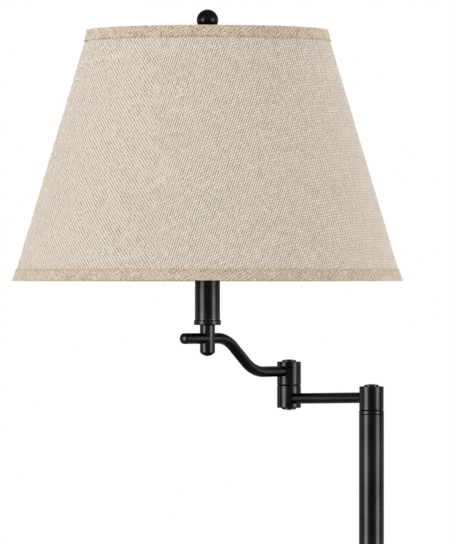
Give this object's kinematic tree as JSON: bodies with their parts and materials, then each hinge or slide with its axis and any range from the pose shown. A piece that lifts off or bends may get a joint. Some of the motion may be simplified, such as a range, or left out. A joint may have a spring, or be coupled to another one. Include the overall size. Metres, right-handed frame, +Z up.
{
  "type": "swing arm floor lamp",
  "caption": "Floor lamp with a round weighted base, a slim pole, a two-part swing arm with an elbow, and a tapered fabric drum shade on a harp.",
  "frame": {"origin": "on the floor, on the pole's axis, at the middle of the felt's underside", "axes": "+Z up along the pole; the shade hangs towards -X at rest, the elbow points towards +Y and the cord inlet faces +Y"},
  "size_m": [0.558, 0.4547, 1.5462],
  "materials": {
    "dark_metal": "satin near-black bronze powder coat",
    "cast_iron": "raw cast",
    "felt": "pressed felt",
    "zinc_steel": "zinc plated",
    "nickel_wire": "nickel plated wire",
    "brass": "satin brass",
    "phenolic": "moulded phenolic",
    "insulating_card": "pressed insulating card",
    "nylon": "natural nylon",
    "lead_sheath": "smooth flexible sheath",
    "bushing_rubber": "moulded rubber",
    "frosted_glass": "frosted white glass",
    "burlap": "plain open weave in natural beige",
    "trim_tape": "folded bias tape of the same cloth",
    "shade_backing": "matte white backing sheet"
  },
  "bodies": {
    "stand": {"base_cover": "dark_metal", "base_weight": "cast_iron", "base_felt": "felt", "base_collar": "dark_metal", "base_nipple": "zinc_steel", "base_nut": "zinc_steel", "base_washer": "zinc_steel", "cord_bushing": "bushing_rubber", "pole_foot_plug": "zinc_steel", "pole_lower": "dark_metal", "pole_middle": "dark_metal", "pole_upper": "dark_metal", "pole_couplers": "zinc_steel", "pole_top_plug": "zinc_steel", "pole_ring": "dark_metal", "pole_pivot": "zinc_steel", "pole_nuts": "zinc_steel", "pole_disc_spring": "zinc_steel", "pole_friction_washer": "nylon", "pole_lead": "lead_sheath", "splice_caps": "nylon"},
    "straight_arm": {"pole_barrel": "dark_metal", "pole_cap": "dark_metal", "straight_tube": "dark_metal", "elbow_lower_barrel": "dark_metal", "elbow_lower_cap": "dark_metal", "elbow_pivot": "zinc_steel", "elbow_nuts": "zinc_steel", "elbow_disc_spring": "zinc_steel", "elbow_friction_washer": "nylon", "straight_lead": "lead_sheath"},
    "curved_arm": {"elbow_upper_barrel": "dark_metal", "elbow_upper_cap": "dark_metal", "curved_tube": "dark_metal", "tube_end_plug": "dark_metal", "curved_lead": "lead_sheath", "socket_post": "dark_metal", "socket_cup": "dark_metal", "neck_sleeve": "dark_metal", "neck_nipple": "zinc_steel", "neck_nut": "zinc_steel", "harp_saddle": "dark_metal", "harp_bow": "dark_metal", "socket_cap": "brass", "socket_shell": "brass", "socket_liner": "insulating_card", "socket_core": "phenolic", "socket_screw_shell": "brass", "terminal_screws": "brass"},
    "switch_knob": {"switch_knob": "phenolic"},
    "harp_ferrule_left": {"harp_ferrule_left": "dark_metal"},
    "harp_ferrule_right": {"harp_ferrule_right": "dark_metal"},
    "bulb": {"bulb_base": "brass", "bulb_glass": "frosted_glass"},
    "shade": {"shade_fabric": "burlap", "shade_liner": "shade_backing", "shade_trims": "trim_tape", "shade_spider": "nickel_wire", "shade_bottom_ring": "nickel_wire"},
    "finial": {"finial": "dark_metal"}
  },
  "joints": [
    {"name": "pole_swing", "type": "hinge", "parent": "stand", "child": "straight_arm", "pos_m": [0, 0, 1.07987], "axis": [0, 0, 1], "range_deg": [-160, 160]},
    {"name": "elbow_swing", "type": "hinge", "parent": "straight_arm", "child": "curved_arm", "pos_m": [-0.09431, 0.1486, 1.10702], "axis": [0, 0, 1], "range_deg": [-274.4, 45.6]},
    {"name": "switch_turn", "type": "hinge", "parent": "curved_arm", "child": "switch_knob", "pos_m": [-0.19068, 0.00133, 1.28598], "axis": [0, -1, 0], "continuous": true},
    {"name": "ferrule_left_lift", "type": "slide", "parent": "curved_arm", "child": "harp_ferrule_left", "axis": [0, 0, 1], "range_m": [0, 0.012]},
    {"name": "ferrule_right_lift", "type": "slide", "parent": "curved_arm", "child": "harp_ferrule_right", "axis": [0, 0, 1], "range_m": [0, 0.012]},
    {"name": "bulb_turn", "type": "hinge", "parent": "curved_arm", "child": "bulb", "pos_m": [-0.19068, 0.00133, 1.3], "axis": [0, 0, 1], "continuous": true},
    {"name": "shade_turn", "type": "hinge", "parent": "curved_arm", "child": "shade", "pos_m": [-0.19068, 0.00133, 1.5], "axis": [0, 0, 1], "continuous": true},
    {"name": "finial_turn", "type": "hinge", "parent": "curved_arm", "child": "finial", "pos_m": [-0.19068, 0.00133, 1.52], "axis": [0, 0, 1], "continuous": true}
  ]
}
